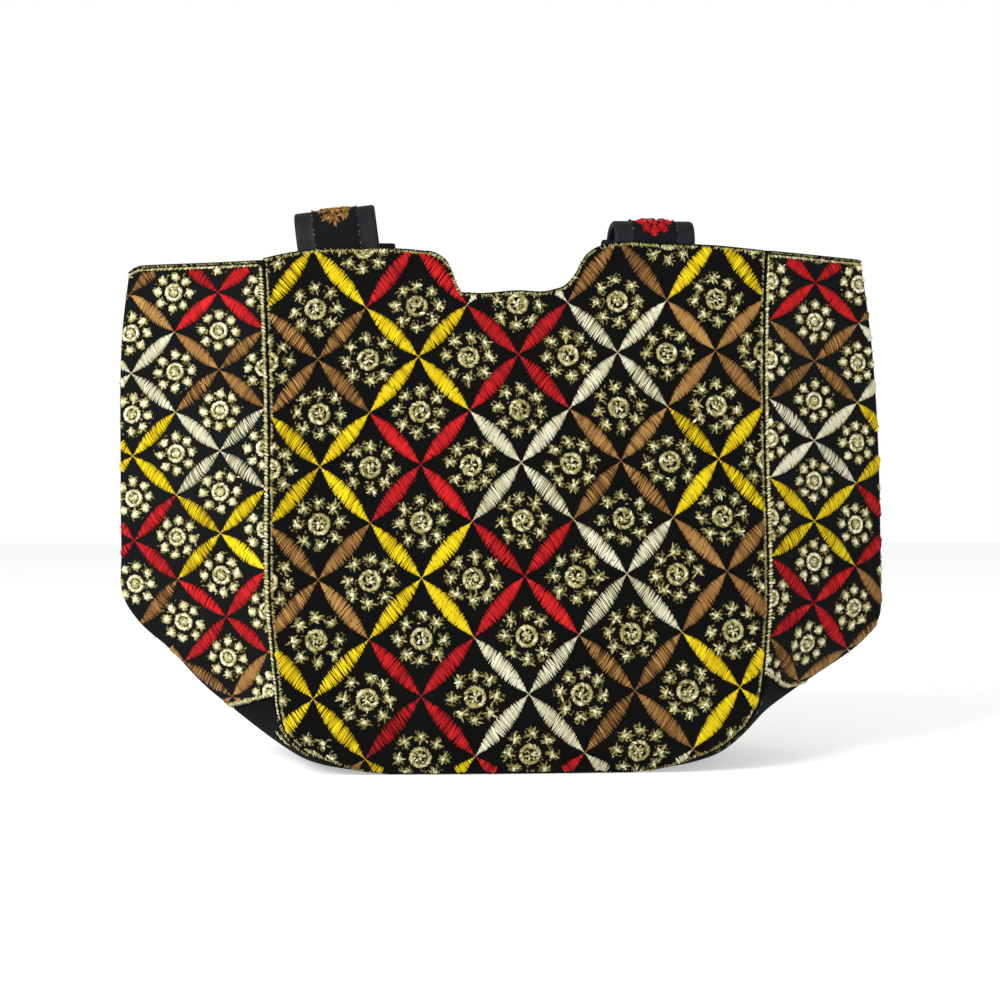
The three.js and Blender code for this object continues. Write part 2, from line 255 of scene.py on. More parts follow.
# Shares up the side from the base's corner: seam length so far, then the panel's half width, its depth and
# its height at the seam, then the reach of the gusset's fold and its height, and last its shift to the
# right.
SIDE = np.array(
    [
        [0.0, 0.451, 0.857, 0.0, 0.293, 0.0, 0],
        [0.056, 0.579, 0.911, 0.01, 0.387, 0.0, 0],
        [0.109, 0.692, 0.964, 0.03, 0.482, 0.002, 0],
        [0.158, 0.796, 0.991, 0.054, 0.556, 0.016, 0.005],
        [0.199, 0.865, 1.0, 0.087, 0.633, 0.055, 0.004],
        [0.241, 0.907, 0.982, 0.131, 0.695, 0.095, -0.001],
        [0.276, 0.92, 0.957, 0.17, 0.77, 0.137, 0.005],
        [0.354, 0.94, 0.888, 0.258, 0.907, 0.222, 0.035],
        [0.406, 0.952, 0.839, 0.317, 0.967, 0.27, 0.024],
        [0.459, 0.957, 0.786, 0.377, 0.993, 0.325, 0.004],
        [0.53, 0.961, 0.711, 0.457, 0.995, 0.42, 0.001],
        [0.635, 0.964, 0.598, 0.575, 0.994, 0.575, -0.002],
        [0.897, 0.986, 0.348, 0.872, 0.976, 0.872, -0.013],
        [1.0, 1.0, 0.277, 0.989, 0.957, 0.977, -0.015],
    ]
)


def smooth_step(t):
    """0 below 0, 1 above 1, and a cubic between."""
    t = np.clip(t, 0.0, 1.0)
    return t * t * (3 - 2 * t)


def read_curve(at, of, q):
    """Smooth curve through the values of at the places at: cubic pieces that share their slopes, running on
    straight past the last."""
    of = np.asarray(of, dtype=float)
    gap = np.diff(at)
    step = np.diff(of) / gap
    inner = (step[:-1] * gap[1:] + step[1:] * gap[:-1]) / (gap[1:] + gap[:-1])
    slope = np.concatenate([step[:1], inner, step[-1:]])
    q = np.asarray(q, dtype=float)
    i = np.clip(np.searchsorted(at, q) - 1, 0, len(at) - 2)
    h = gap[i]
    t = np.clip((q - at[i]) / h, 0.0, 1.0)
    inside = (
        (2 * t**3 - 3 * t**2 + 1) * of[i]
        + (t**3 - 2 * t**2 + t) * h * slope[i]
        + (-2 * t**3 + 3 * t**2) * of[i + 1]
        + (t**3 - t**2) * h * slope[i + 1]
    )
    return inside + np.maximum(q - at[-1], 0.0) * slope[-1]


def side(column, q):
    """One column of SIDE at q."""
    return read_curve(SIDE[:, 0], SIDE[:, column], q)


def half_width(q):
    """Half the panel's width at q."""
    return PANEL_HALF * side(1, q)


def half_depth(q):
    """The seam's distance from the middle at q."""
    return SWELL_HALF * side(2, q)


def seam_height(q):
    """The seam's height at q."""
    return HEIGHT * side(3, q)


def bulge(q):
    """How far the panel's middle stands out past its seams at q."""
    return LIP_BULGE + (BULGE - LIP_BULGE) * np.sin(np.pi * np.clip(q, 0.0, 1.0)) ** 1.5


def rack(q):
    """Sideways shift of the front panel at q; the back panel has the opposite one."""
    return RACK * smooth_step(seam_height(q) / 45)


def tilted(x, y, z):
    """Points with the top edge's slight rise to the right."""
    x, y, z = np.broadcast_arrays(x, y, z)
    return np.stack([x, y, z * (1 + (RISE / HEIGHT) * (x / SPREAD_HALF))], axis=-1)


def lip(face, u):
    """Height of a panel's top edge at u across: lobes, shoulders and the scoop between."""
    place = np.clip(u - (BACK_SHIFT / PANEL_HALF if face > 0 else 0), -1, 1)
    return HEIGHT - SCOOP_DEPTH * read_curve(LIP[:, 0], LIP[:, 1], place)


Q_STEPS = np.linspace(0.0, 1.06, 1200)
Z_STEPS = seam_height(Q_STEPS)


def waves(x, z):
    """Soft waves of the standing cloth: three crossed sine waves, still at the floor."""
    soft = 0.55 * np.sin(x / 27 + z / 49 + 0.9) * np.sin(z / 33 - 0.6)
    soft = soft + 0.4 * np.sin(x / 15.5 - z / 26 + 2.1) * np.sin(z / 58 + 0.3)
    soft = soft + 0.22 * np.sin(x / 8.3 + z / 12.5) * np.sin(x / 39 - z / 21)
    return soft * smooth_step(z / 25) * (1 - 0.8 * smooth_step((z - 200) / 30))


def panel_surface(face, x, z):
    """Points on a panel's outer cloth at x across and z up. face is -1 front, 1 back."""
    q = np.interp(z, Z_STEPS, Q_STEPS)
    half = half_width(q)
    u = (x + face * rack(q)) / half
    edge = (1 - np.abs(u)) * half
    dip = NEEDLEWORK + 1.0 * np.exp(-((edge / 2.4) ** 2))
    soft = waves(x, z) * smooth_step(edge / 12) * (1.0 if face < 0 else 0.4)
    out = half_depth(q) + bulge(q) * (1 - u * u) + soft - dip
    return tilted(x, face * out, z)


def tangle(surface, a, b, lift):
    """Points lifted off a surface along its own normal: surface(a, b) and its two small steps give the
    normal."""
    step = 0.4
    base = surface(a, b)
    across = surface(a + step, b) - surface(a - step, b)
    up = surface(a, b + step) - surface(a, b - step)
    normal = np.cross(across, up)
    normal = normal / np.maximum(np.linalg.norm(normal, axis=-1, keepdims=True), 1e-9)
    return base + normal * np.asarray(lift)[..., None]


def outward_sign(surface, a, b, outward):
    """1 if tangle's normal points along outward at (a, b), else -1."""
    one = np.array([float(a)]), np.array([float(b)])
    shift = tangle(surface, one[0], one[1], np.array([1.0])) - surface(*one)
    return 1.0 if float(shift[0] @ np.asarray(outward, dtype=float)) > 0 else -1.0


def grid_faces(columns, rows, start=0):
    """Quads of a grid whose point (i, j) has the number start + i * rows + j."""
    i, j = np.meshgrid(np.arange(columns - 1), np.arange(rows - 1), indexing="ij")
    a = (start + i * rows + j).ravel()
    return np.stack([a, a + rows, a + rows + 1, a + 1], axis=1)


def wall_mesh(outer, inner, rim_first, rim_last):
    """A closed cloth wall from outer and inner grids. An end of the rows with a rim is turned over in a
    half round, and every other edge is closed square. It gives points, quads and the grid place of each
    point."""
    columns, rows = outer.shape[:2]
    parts = [outer]
    places = [np.broadcast_to(np.linspace(0, 1, rows), (columns, rows))]

    def rim(end, inwards):
        a = outer[:, end]
        b = inner[:, end]
        ahead = outer[:, end] - outer[:, end - 1 if end else 1]
        ahead = ahead / np.linalg.norm(ahead, axis=-1, keepdims=True)
        angle = np.linspace(0, np.pi, 7)[1:-1] if inwards else np.linspace(np.pi, 0, 7)[1:-1]
        middle = (a + b) / 2
        half = np.linalg.norm(a - b, axis=-1, keepdims=True) / 2
        turn = np.cos(angle)[None, :, None]
        forward = (ahead * half)[:, None] * np.sin(angle)[None, :, None]
        return middle[:, None] + (a - middle)[:, None] * turn + forward

    if rim_last:
        parts.append(rim(rows - 1, True))
        places.append(np.ones((columns, 5)))
    parts.append(inner[:, ::-1])
    places.append(np.broadcast_to(np.linspace(1, 0, rows), (columns, rows)))
    if rim_first:
        parts.append(rim(0, False))
        places.append(np.zeros((columns, 5)))
    ring = np.concatenate(parts, axis=1)
    place = np.concatenate(places, axis=1)
    count = ring.shape[1]
    faces = grid_faces(columns, count)
    i = np.arange(columns - 1)
    here, there = i * count, (i + 1) * count
    closing = np.stack([here + count - 1, there + count - 1, there, here], axis=1)
    ends = []
    half = np.arange(count // 2)
    for column, turned in ((0, False), (columns - 1, True)):
        start = column * count
        a, b = start + half, start + half + 1
        c, d = start + count - 2 - half, start + count - 1 - half
        quads = np.stack([a, b, c, d], axis=1)[: (count - 1) // 2]
        quads = quads[quads[:, 1] != quads[:, 2]]
        ends.append(quads[:, ::-1] if turned else quads)
    points = ring.reshape(-1, 3)
    faces = np.concatenate([faces, closing, *ends])
    across = np.broadcast_to(np.linspace(0, 1, columns)[:, None], (columns, count))
    inside = np.zeros(count)
    inside[rows + (5 if rim_last else 0) : 2 * rows + (5 if rim_last else 0)] = 1
    spread = np.stack([(across + inside) / 2 * 0.98 + 0.01 * (1 + inside), place], axis=-1)
    return points, turn_out(points, faces), spread.reshape(-1, 2)


def turn_out(points, faces):
    """The faces, turned round together if the volume that they hold is negative."""
    a, b, c, d = (points[faces[:, k]] for k in range(4))
    volume = np.einsum("ij,ij->", a, np.cross(b, c)) + np.einsum("ij,ij->", a, np.cross(c, d))
    return faces if volume > 0 else faces[:, ::-1]


def colour(red, green, blue):
    """Display red, green and blue, 0 to 255, as the linear colour that a shader takes."""
    parts = [v / 255 for v in (red, green, blue)]
    return (*[v / 12.92 if v <= 0.04045 else ((v + 0.055) / 1.055) ** 2.4 for v in parts], 1.0)


def between(factor, first, second):
    """Colour from first to second as factor goes from 0 to 1."""
    return factor.node("ShaderNodeMix", {"data_type": "RGBA"}, {0: factor, 6: first, 7: second}, 2)


def make_cloth(name, dark, pale):
    """Close plain weave: two fine crossed waves in the bump, faint fading from dark to pale in the colour."""
    material, paint, shader = new_material(name)
    place = paint.node("ShaderNodeTexCoord", {}, {}, "Object")
    fade = paint.node("ShaderNodeTexNoise", {}, {"Vector": place, "Scale": 28.0, "Detail": 3.0}, "Fac")
    lint = paint.node("ShaderNodeTexNoise", {}, {"Vector": place, "Scale": 900.0, "Detail": 2.0}, "Fac")
    yarn = {"Vector": place, "Scale": 420.0, "Distortion": 0.6}
    warp = paint.node("ShaderNodeTexWave", {"bands_direction": "X"}, yarn, 1)
    weft = paint.node("ShaderNodeTexWave", {"bands_direction": "Z"}, yarn, 1)
    height = warp * weft + 0.6 * lint
    relief = {"Strength": 0.35, "Distance": 0.0002, "Height": height}
    bump = paint.node("ShaderNodeBump", {}, relief, "Normal")
    feed(shader, {"Base Color": between(fade, dark, pale), "Roughness": 0.95, "Normal": bump})
    feed(shader, {"Specular IOR Level": 0.04})
    return material


black_cloth = make_cloth("black_cloth", colour(6, 7, 7), colour(14, 14, 13))


def panel_wall(face):
    """The panel's wall: columns crowd round the scoop, and rows above SCOOP_ROW follow the top edge."""
    places = np.concatenate([np.linspace(-1, 1, 78), (np.linspace(-46, 60, 60)) / PANEL_HALF])
    u = np.unique(np.round(places, 4))
    q = (np.arange(91) / 90) ** 1.2
    uu, qq = np.meshgrid(u, q, indexing="ij")
    foot = seam_height(SCOOP_ROW)
    follow = SCOOP_ROW + (qq - SCOOP_ROW) * (lip(face, uu) - foot) / (seam_height(1.0) - foot)
    up = np.where(qq > SCOOP_ROW, follow, qq)
    up = np.maximum(up, 0.4 / SEAM_LENGTH)
    x = -face * rack(up) + uu * (half_width(up) - 0.2)
    z = seam_height(up)
    surface = lambda a, b: panel_surface(face, a, b)
    outer = surface(x, z)
    sign = outward_sign(surface, 0.0, 120.0, (0, face, 0))
    inner = tangle(surface, x, z, np.full(x.shape, -sign * CLOTH))
    return wall_mesh(outer, inner, rim_first=False, rim_last=True)


for face, name in ((-1, "front_panel"), (1, "back_panel")):
    points, faces, spread = panel_wall(face)
    wall = add_piece(f"{name}_cloth", points, faces, black_cloth, maps={"ClothMap": spread})
    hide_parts(name)
    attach(wall, "root")

# Side gussets: black cloth
# Each side is one wide strip of the same cloth, sewn to both panels and folded outward down its middle into
# a V with a softly rounded edge. It ends low down, where the plain base cloth runs up to meet it.
FOLD_ROUND = 0.1
HALF_GAP = 0.0008
# Each gusset's lower end, as q: at the fold, a third of the way to a seam, and at the seams.
FOOT_PLACES = np.array([0.0, 0.35, 1.0])
FOOT_Q = {-1: (0.247, 0.25, 0.258), 1: (0.28, 0.269, 0.284)}
gusset_cloth = make_cloth("gusset_cloth", colour(10, 11, 12), colour(21, 22, 22))


def foot_q(end, w):
    """Where a gusset ends at w across: a smooth curve through its three places."""
    return read_curve(FOOT_PLACES, FOOT_Q[end], np.abs(w))


def strip_surface(end, q, w):
    """A point of the strip: the chord between the two seams at q, pushed out to the fold by a rounded V
    that turns into a flat trough near the floor. end is -1 left, 1 right, w runs from the front seam to the
    back one."""
    slack = np.maximum(smooth_step(np.abs(w)), 1 - smooth_step(np.abs(w) / SAG_NEAR_FOLD))
    slack = slack * smooth_step((q - SCOOP_ROW) / (1 - SCOOP_ROW)) * (end < 0)
    q = q - LEFT_SAG * slack / SEAM_LENGTH
    seam = end * half_width(q)
    depth = half_depth(q)
    height = seam_height(q)
    reach = SPREAD_HALF * (end * side(4, q) + side(6, q)) - seam
    drop = HEIGHT * side(5, q) - height
    far = np.sqrt(1 + FOLD_ROUND**2)
    folded = (far - np.sqrt(w * w + FOLD_ROUND**2)) / (far - FOLD_ROUND)
    trough = 1 - w**4
    share = smooth_step(q / 0.25)
    hump = share * folded + (1 - share) * trough
    length = np.hypot(reach, depth)
    edge = (1 - np.abs(w)) * length
    dip = 1.2 * np.exp(-((edge / 2.2) ** 2)) * smooth_step(q / 0.2)
    soft = waves(90 + 80 * w * end, height + 40 * end) * smooth_step(edge / 12) * smooth_step(q / 0.3)
    soft = soft * np.clip(np.abs(w) * 3, 0, 1)
    x = seam + reach * hump - rack(q) * w - end * 0.5 * dip
    y = depth * w + np.sign(w) * (soft - 0.8 * dip)
    return tilted(x, y, height + drop * hump)


def strip_wall(end, qq, ww, thick):
    """The outer and inner points of the strip's wall at a grid of places, the inner ones thick within."""
    surface = lambda a, b: strip_surface(end, a, b)
    outer = surface(qq, ww)
    step_q, step_w = 0.002, 0.01
    along = surface(np.minimum(qq + step_q, 1.02), ww) - surface(np.maximum(qq - step_q, 0), ww)
    across = surface(qq, np.minimum(ww + step_w, 1)) - surface(qq, np.maximum(ww - step_w, -1))
    normal = np.cross(along, across)
    normal = normal / np.linalg.norm(normal, axis=-1, keepdims=True)
    middle = (qq.shape[0] // 2, qq.shape[1] // 4)
    away = np.array([end * 1.0, -1.0, -0.3])
    normal = normal * np.sign(normal[middle] @ away)
    inner = outer - normal * thick
    return outer.transpose(1, 0, 2), inner.transpose(1, 0, 2)


GUSSET_W = np.sin(np.linspace(-1, 1, 71) * np.pi / 2) * 0.35 + np.linspace(-1, 1, 71) * 0.65
for end, name in ((-1, "side_gusset_left"), (1, "side_gusset_right")):
    t, w = np.meshgrid(np.linspace(0, 1, 76), GUSSET_W * 0.998, indexing="ij")
    foot = foot_q(end, w) + HALF_GAP
    outer, inner = strip_wall(end, foot + (1 - foot) * t, w, CLOTH)
    points, faces, spread = wall_mesh(outer, inner, rim_first=False, rim_last=True)
    wall = add_piece(f"{name}_cloth", points, faces, gusset_cloth, maps={"ClothMap": spread})
    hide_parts(name)
    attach(wall, "root")

# Base panel: plain black cloth
# One long strip of heavier plain cloth, flat under the bag and curved up at both ends to the gussets' gold
# lines. It is sewn between the two panels' feet, and only its ends show.
BASE_CLOTH = 2.4
plain_cloth = make_cloth("plain_cloth", colour(7, 8, 10), colour(11, 12, 15))


def base_wall():
    """Both lifted ends and the flat between them, as one grid from the left gold line to the right one."""
    w = GUSSET_W[::2] * 0.998
    t, across = np.meshgrid(np.linspace(1, 0, 36), w, indexing="ij")
    left = strip_wall(-1, t * (foot_q(-1, across) - HALF_GAP), across, BASE_CLOTH)
    t = t[::-1]
    right = strip_wall(1, t * (foot_q(1, across) - HALF_GAP), across, BASE_CLOTH)
    u = np.linspace(-1, 1, 30)[1:-1]
    uu, ww = np.meshgrid(u, w, indexing="xy")
    x = uu * half_width(0.0)
    y = ww * (half_depth(0.0) - 0.2)
    flat = np.stack([x, y, np.zeros_like(x)], axis=-1)
    above = flat + np.array([0, 0, BASE_CLOTH])
    outer = np.concatenate([left[0], flat, right[0]], axis=1)
    inner = np.concatenate([left[1], above, right[1]], axis=1)
    return wall_mesh(outer, inner, rim_first=False, rim_last=False)


points, faces, spread = base_wall()
base = add_piece("base_panel_cloth", points, faces, plain_cloth, maps={"ClothMap": spread})
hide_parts("base_panel")
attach(base, "root")

# Needlework: threads and stitches
# Every motif is laid in separate strands of soft floss or pale gold thread, each diving into the cloth at
# both ends. A strand is a small raised ridge: narrow and low at its ends, wide and high in its middle.
rng = np.random.default_rng(7)


class Strands:
    """Stitches gathered in lists, each with its two ends on the cloth in millimetres, its width, the height
    of its ridge, the height of its ends and its shade from 0 to 1."""

    def __init__(self):
        self.rows = []

    def add(self, x0, z0, x1, z1, width, height, foot=0.05, shade=0.5):
        given = (x0, z0, x1, z1, width, height, foot, shade)
        values = np.broadcast_arrays(*[np.asarray(v, dtype=float) for v in given])
        self.rows.append(np.stack([v.ravel() for v in values], axis=1))

    def all(self):
        return np.concatenate(self.rows) if self.rows else np.zeros((0, 8))


def clip_strands(rows, inside):
    """Keeps the strands that lie inside, draws in an end that is outside, and drops what is left too
    short."""
    ends = [rows[:, 0:2].copy(), rows[:, 2:4].copy()]
    middle = (ends[0] + ends[1]) / 2
    keep = inside(middle[:, 0], middle[:, 1])
    for end in ends:
        for _ in range(4):
            out = ~inside(end[:, 0], end[:, 1])
            end[out] = end[out] * 0.7 + middle[out] * 0.3
    rows = rows.copy()
    rows[:, 0:2], rows[:, 2:4] = ends
    long_enough = np.hypot(*(ends[1] - ends[0]).T) > 0.7
    return rows[keep & long_enough]


def strand_mesh(rows, surface, sign, stations, taper):
    """Ridge meshes of all the strands at once: stations along each, and a left, crest and right point at
    each. taper is the share of its width that a strand loses at its ends."""
    s = np.linspace(-1, 1, stations)
    along = (s + 1) / 2
    belly = 1 - taper * np.abs(s) ** 2.5
    arch = np.sqrt(np.clip(1 - np.abs(s) ** 3, 0, 1))
    start, finish = rows[:, None, 0:2], rows[:, None, 2:4]
    line = start + (finish - start) * along[None, :, None]
    run = rows[:, 2:4] - rows[:, 0:2]
    run = run / np.maximum(np.linalg.norm(run, axis=1, keepdims=True), 1e-6)
    beside = np.stack([-run[:, 1], run[:, 0]], axis=1)[:, None] * (rows[:, 4] / 2)[:, None, None]
    beside = beside * belly[None, :, None]
    crest = rows[:, 6][:, None] + (rows[:, 5] - rows[:, 6])[:, None] * arch[None]
    valley = np.maximum(crest - 0.45 * rows[:, 4][:, None], -0.15)
    flat = np.stack([line - beside, line, line + beside], axis=2)
    lift = np.stack([valley, crest, valley], axis=2)
    points = tangle(surface, flat[..., 0], flat[..., 1], sign * lift)
    n = len(rows)
    count = stations * 3
    base = (np.arange(n) * count)[:, None]
    pattern = []
    for k in range(stations - 1):
        for c in range(2):
            a = k * 3 + c
            pattern.append([a, a + 1, a + 4, a + 3])
    pattern = np.array(pattern)
    faces = (base[:, :, None] + pattern[None]).reshape(-1, 4)
    # The crest mark paints highlight on each strand's crest and shade at its sides, and fades to painted
    # shade at the ends where the strand dives in.
    fade = np.clip(1.15 - np.abs(s) ** 4, 0, 1)[None, :, None]
    painted_crest_light = np.broadcast_to(np.array([0.0, 1.0, 0.0]), (n, stations, 3)) * fade
    shade = np.broadcast_to(rows[:, 7][:, None, None], (n, stations, 3))
    length = np.hypot(*(rows[:, 2:4] - rows[:, 0:2]).T)[:, None, None]
    lengthwise = (np.arange(n) * 0.37)[:, None, None] + along[None, :, None] * length
    sideways = np.array([0.0, 0.5, 1.0])[None, None, :]
    twist = np.stack(np.broadcast_arrays(lengthwise, sideways), axis=-1).reshape(-1, 2)
    return points.reshape(-1, 3), faces, flat.reshape(-1, 2), painted_crest_light.ravel(), shade.ravel(), twist


def make_thread(name, deep, middle, light):
    """Floss with painted shade between strands and painted highlight on crests; its twist lines are bump and
    painted sheen.
    """
    material, paint, shader = new_material(name)
    crest = paint.node("ShaderNodeAttribute", {"attribute_name": "crest"}, {}, "Fac")
    shade = paint.node("ShaderNodeAttribute", {"attribute_name": "shade"}, {}, "Fac")
    twist = paint.node("ShaderNodeUVMap", {"uv_map": "Twist"}, {})
    lines = {"Vector": twist, "Scale": 1.3, "Distortion": 1.5, "Detail": 1.0}
    twist_bump_and_sheen = paint.node("ShaderNodeTexWave", {"bands_direction": "DIAGONAL"}, lines, 1)
    # Place on the ramp: painted crest highlight and valley shade, each strand's tone, and painted sheen along
    # the twist.
    lightness = crest * 0.3 + shade * 0.68 + twist_bump_and_sheen * 0.14 - 0.05
    stops = ((0.0, deep), (0.5, middle), (1.0, light))
    tone = paint.node("ShaderNodeValToRGB", {"stops": stops}, [lightness])
    bump = paint.node("ShaderNodeBump", {}, {"Strength": 0.5, "Distance": 0.0001, "Height": twist_bump_and_sheen}, "Normal")
    feed(shader, {"Base Color": tone, "Roughness": 0.6, "Specular IOR Level": 0.1, "Normal": bump})
    return material


# Each thread's deep and light colours are its own colour in painted shade and painted highlight; the middle
# one is its plain colour.
THREADS = {
    "red": make_thread("red_floss", colour(78, 3, 7), colour(158, 16, 20), colour(222, 38, 38)),
    "tan": make_thread("tan_floss", colour(50, 28, 10), colour(126, 88, 44), colour(194, 150, 86)),
    "cream": make_thread("cream_floss", colour(108, 104, 72), colour(186, 182, 150), colour(238, 236, 216)),
    "yellow": make_thread("yellow_floss", colour(108, 78, 0), colour(196, 168, 6), colour(240, 226, 34)),
    "gold": make_thread("pale_gold_thread", colour(58, 53, 20), colour(160, 153, 94), colour(246, 243, 220)),
}


FLECKS = 6


def leaf(strands, start, finish, belly, count, dome):
    """A satin leaf from one net point to the next: count strands set across its length at a slant, each as
    long as a pointed oval is wide there, over a padded middle. In one leaf they lie close and even, in
    another apart and uneven, and one end is a little darker, as painted shade across the padded middle. A
    few dark flecks lie in the middle."""
    start, finish = np.asarray(start, float), np.asarray(finish, float)
    run = finish - start
    length = np.hypot(*run)
    ahead = run / length
    beside = np.array([-ahead[1], ahead[0]])
    close, painted_end_shade = rng.uniform(0, 1) ** 1.3, rng.uniform(-0.22, 0.22)
    t = (np.arange(count) + 0.5) / count
    t = t + rng.uniform(-0.28, 0.28, count) * (1.2 - 0.6 * close) / count
    spot = start + run * (0.05 + 0.9 * t)[:, None]
    half = belly * np.sin(np.pi * np.clip(t, 0.02, 0.98)) ** 0.76 + 0.2
    slant = math.radians(13) * (1 if run[0] * run[1] > 0 else -1) + rng.normal(0, 0.07, count)
    across = beside * np.cos(slant)[:, None] + ahead * np.sin(slant)[:, None]
    left = half * (1 + rng.uniform(-0.1, 0.08, count))
    right = half * (1 + rng.uniform(-0.1, 0.08, count))
    a, b = spot - across * left[:, None], spot + across * right[:, None]
    width = (0.84 + 0.36 * close) * length / count * rng.uniform(0.86, 1.14, count)
    height = 0.3 + dome * (half / belly) ** 0.7 * (1 + rng.uniform(-0.13, 0.13, count) * (1 - 0.8 * close))
    # painted_end_shade darkens one end of the leaf: painted shade across its padded middle.
    tone = rng.normal(0.4 + 0.2 * close, 0.29 - 0.22 * close, count) + rng.normal(0, 0.08) + painted_end_shade * (t - 0.5)
    strands.add(a[:, 0], a[:, 1], b[:, 0], b[:, 1], width, height, 0.1, np.clip(tone, 0, 1))
    fleck = start + run * rng.uniform(0.2, 0.8, FLECKS)[:, None]
    fleck = fleck + beside * rng.normal(0, 0.3 * belly, FLECKS)[:, None]
    tip = fleck + across[:FLECKS] * 0.55
    strands.add(*(2 * fleck - tip).T, *tip.T, 0.4, 0.36 + dome, 0.3 + dome, 0.0)
    for near, far in ((start, start + run * 0.07), (start + run * 0.93, finish)):
        strands.add(near[0], near[1], far[0], far[1], 0.55, 0.4, 0.2, 0.3)


def ring(strands, centre, radius, band, count, shade=0.5):
    """A round of slanting stitches, each band long, laid close so that they read as a corded ring."""
    angle = (np.arange(count) + rng.uniform(-0.25, 0.25, count)) * 2 * np.pi / count
    lean = 1.1 * 2 * np.pi / count
    r0 = radius - band / 2 * rng.uniform(0.7, 1.2, count)
    r1 = radius + band / 2 * rng.uniform(0.7, 1.25, count)
    strands.add(
        centre[0] + r0 * np.cos(angle - lean),
        centre[1] + r0 * np.sin(angle - lean),
        centre[0] + r1 * np.cos(angle + lean),
        centre[1] + r1 * np.sin(angle + lean),
        2 * np.pi * radius / count * rng.uniform(0.95, 1.3, count),
        rng.uniform(0.7, 1.0, count),
        0.2,
        np.clip(rng.normal(shade, 0.27, count), 0, 1),
    )


def burst(strands, centre, inner, outer, count, width, turn, ragged=0.3, shade=0.5, stray=0.0):
    """Straight stitches that spread from a centre like the rays of a star. ragged is how uneven their
    lengths and directions are, and stray how far each is moved aside."""
    angle = turn + (np.arange(count) + rng.uniform(-ragged, ragged, count)) * 2 * np.pi / count
    long = outer * (1 + rng.uniform(-ragged, ragged * 0.5, count))
    x, z = np.asarray(centre, float)[:, None] + rng.normal(0, 1, (2, count)) * stray
    strands.add(
        x + inner * np.cos(angle),
        z + inner * np.sin(angle),
        x + long * np.cos(angle),
        z + long * np.sin(angle),
        width * rng.uniform(0.8, 1.15, count),
        0.75 + rng.uniform(-0.15, 0.15, count),
        0.15,
        np.clip(rng.normal(shade, 0.24, count), 0, 1),
    )


def scatter(strands, centre, radius, count, long, width, shade):
    """Short stitches laid every way over a disc, evenly by area. A shade under 0 is darker than the
    thread's own dark, for stitches half hidden in the cloth."""
    angle, reach = rng.uniform(0, 2 * np.pi, count), radius * np.sqrt(rng.uniform(0, 1, count))
    turn = rng.uniform(0, np.pi, count)
    x, z = centre[0] + reach * np.cos(angle), centre[1] + reach * np.sin(angle)
    dx, dz = long / 2 * np.cos(turn), long / 2 * np.sin(turn)
    tone = np.clip(rng.normal(shade, 0.28, count), min(shade, 0.0), 1)
    strands.add(x - dx, z - dz, x + dx, z + dz, width, rng.uniform(0.45, 0.75, count), 0.15, tone)


def knot(strands, centre, long, width, count):
    """A few bright stitches laid over one another across a centre: pale thread, its near-white partly painted
    highlight.
    """
    angle = rng.uniform(0, np.pi) + np.arange(count) * np.pi / count + rng.uniform(-0.3, 0.3, count)
    reach = long * rng.uniform(0.8, 1.15, count)
    strands.add(
        centre[0] - reach * np.cos(angle),
        centre[1] - reach * np.sin(angle),
        centre[0] + reach * np.cos(angle),
        centre[1] + reach * np.sin(angle),
        width,
        1.0 + 0.12 * np.arange(count),
        0.3,
        np.clip(rng.normal(0.85, 0.12, count), 0, 1),
    )


def open_flower(strands, centre):
    """The panels' flower: a corded ring filled with short dim stitches and a spoked middle, and eight spiky
    bursts set round it, each a bright uneven core over a frayed dim fringe. The cores' near-white is partly
    painted highlight. Stray dim stitches lie all about."""
    scatter(strands, centre, radius=13.0, count=26, long=1.6, width=0.7, shade=-0.1)
    ring(strands, centre, radius=4.4, band=1.7, count=26, shade=0.42)
    scatter(strands, centre, radius=3.4, count=22, long=1.7, width=0.85, shade=0.25)
    burst(
        strands, centre, inner=0.3, outer=2.8, count=5, width=1.0, turn=rng.uniform(0, 1), ragged=0.4,
        shade=0.7, stray=0.3,
    )
    turn = rng.uniform(-0.12, 0.12)
    for k in range(8):
        angle = turn + k * np.pi / 4 + rng.uniform(-0.07, 0.07)
        reach = 10.3 * rng.uniform(0.96, 1.04)
        spot = (centre[0] + reach * np.cos(angle), centre[1] + reach * np.sin(angle))
        scatter(strands, spot, radius=3.6, count=11, long=1.6, width=0.75, shade=-0.15)
        burst(
            strands, spot, inner=0.3, outer=3.3, count=11, width=0.95, turn=angle, ragged=0.5,
            shade=0.1, stray=0.5,
        )
        burst(
            strands, spot, inner=0.0, outer=2.4, count=6, width=1.15, turn=angle + 0.3, ragged=0.6,
            shade=0.6, stray=0.4,
        )
        knot(strands, spot, long=1.3, width=1.2, count=2)


def round_flower(strands, centre):
    """The gussets' flower: a smaller filled ring with a round eye, and eight puffed blossoms set close
    about it, whose near-white cores are partly painted highlight."""
    scatter(strands, centre, radius=11.5, count=34, long=1.4, width=0.7, shade=-0.1)
    ring(strands, centre, radius=3.7, band=1.6, count=24, shade=0.75)
    scatter(strands, centre, radius=2.8, count=14, long=1.6, width=1.0, shade=0.25)
    ring(strands, centre, radius=1.7, band=1.0, count=9, shade=0.45)
    knot(strands, centre, long=1.1, width=1.3, count=2)
    turn = rng.uniform(-0.1, 0.1)
    for k in range(8):
        angle = turn + k * np.pi / 4 + rng.uniform(-0.06, 0.06)
        reach = 8.3 * rng.uniform(0.96, 1.04)
        spot = (centre[0] + reach * np.cos(angle), centre[1] + reach * np.sin(angle))
        scatter(strands, spot, radius=2.9, count=7, long=1.5, width=0.8, shade=-0.1)
        burst(
            strands, spot, inner=0.1, outer=2.5, count=11, width=1.3, turn=angle, ragged=0.3,
            shade=0.35, stray=0.25,
        )
        knot(strands, spot, long=1.9, width=1.8, count=4)


